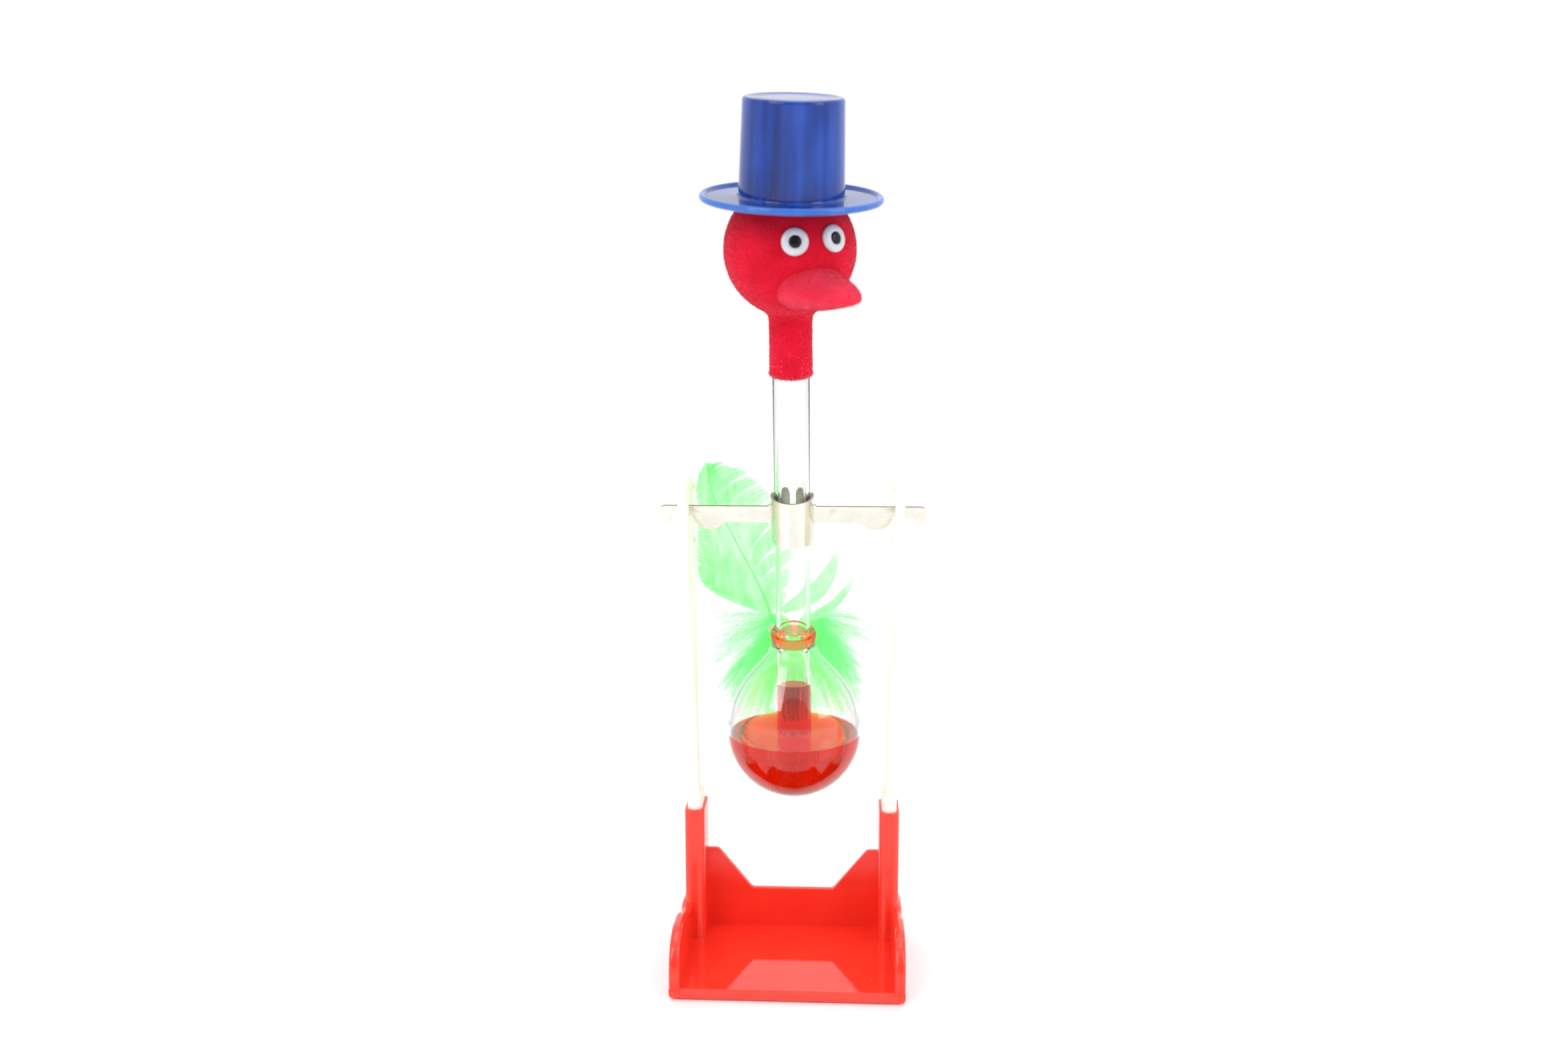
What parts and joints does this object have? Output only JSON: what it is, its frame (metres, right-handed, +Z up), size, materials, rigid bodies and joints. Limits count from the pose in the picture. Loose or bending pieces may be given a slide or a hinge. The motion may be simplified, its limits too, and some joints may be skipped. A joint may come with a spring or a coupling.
{
  "type": "drinking bird",
  "caption": "Desk toy: a sealed glass bird with a flocked head, top hat and tail feather rocks on a metal clip between two uprights plugged into a tray base",
  "frame": {"origin": "on the flat underside of the tray, straight below the rocking axis and midway between the uprights", "axes": "+Z up, the bird faces -Y, +X to the right seen from the front; the rocking axis is parallel to X"},
  "size_m": [0.0756, 0.0988, 0.2427],
  "materials": {
    "tray": "glossy red moulded plastic",
    "upright": "ivory translucent plastic",
    "clip": "stamped sheet steel, pale nickel plate",
    "glass": "clear blown glass",
    "liquid": "clear red-orange dyed liquid",
    "flock": "red velvet flock",
    "eye_white": "white plastic",
    "pupil": "black gloss",
    "hat": "glossy royal blue moulded plastic",
    "feather": "dyed mint green feather",
    "glue": "clear set glue"
  },
  "bodies": {
    "stand": {"base_tray": "tray", "left_upright": "upright", "right_upright": "upright"},
    "clip": {"pivot_clip": "clip"},
    "bird": {"glass_tube": "glass", "lower_bulb": "glass", "head_bulb": "glass", "bulb_liquid": "liquid", "column_liquid": "liquid", "joint_liquid": "liquid", "flocked_head": "flock", "beak": "flock", "left_eye_white": "eye_white", "left_pupil": "pupil", "right_eye_white": "eye_white", "right_pupil": "pupil", "top_hat": "hat", "tail_feather": "feather", "second_feather": "feather", "left_down": "feather", "right_down": "feather", "glue_bead": "glue"}
  },
  "joints": [
    {"name": "rock", "type": "hinge", "parent": "stand", "child": "clip", "pos_m": [0, 0, 0.129], "axis": [1, 0, 0], "range_deg": [-22, 74]},
    {"name": "balance_slide", "type": "slide", "parent": "clip", "child": "bird", "axis": [0, -0.2284, 0.9736], "range_m": [-0.003, 0.003]}
  ]
}
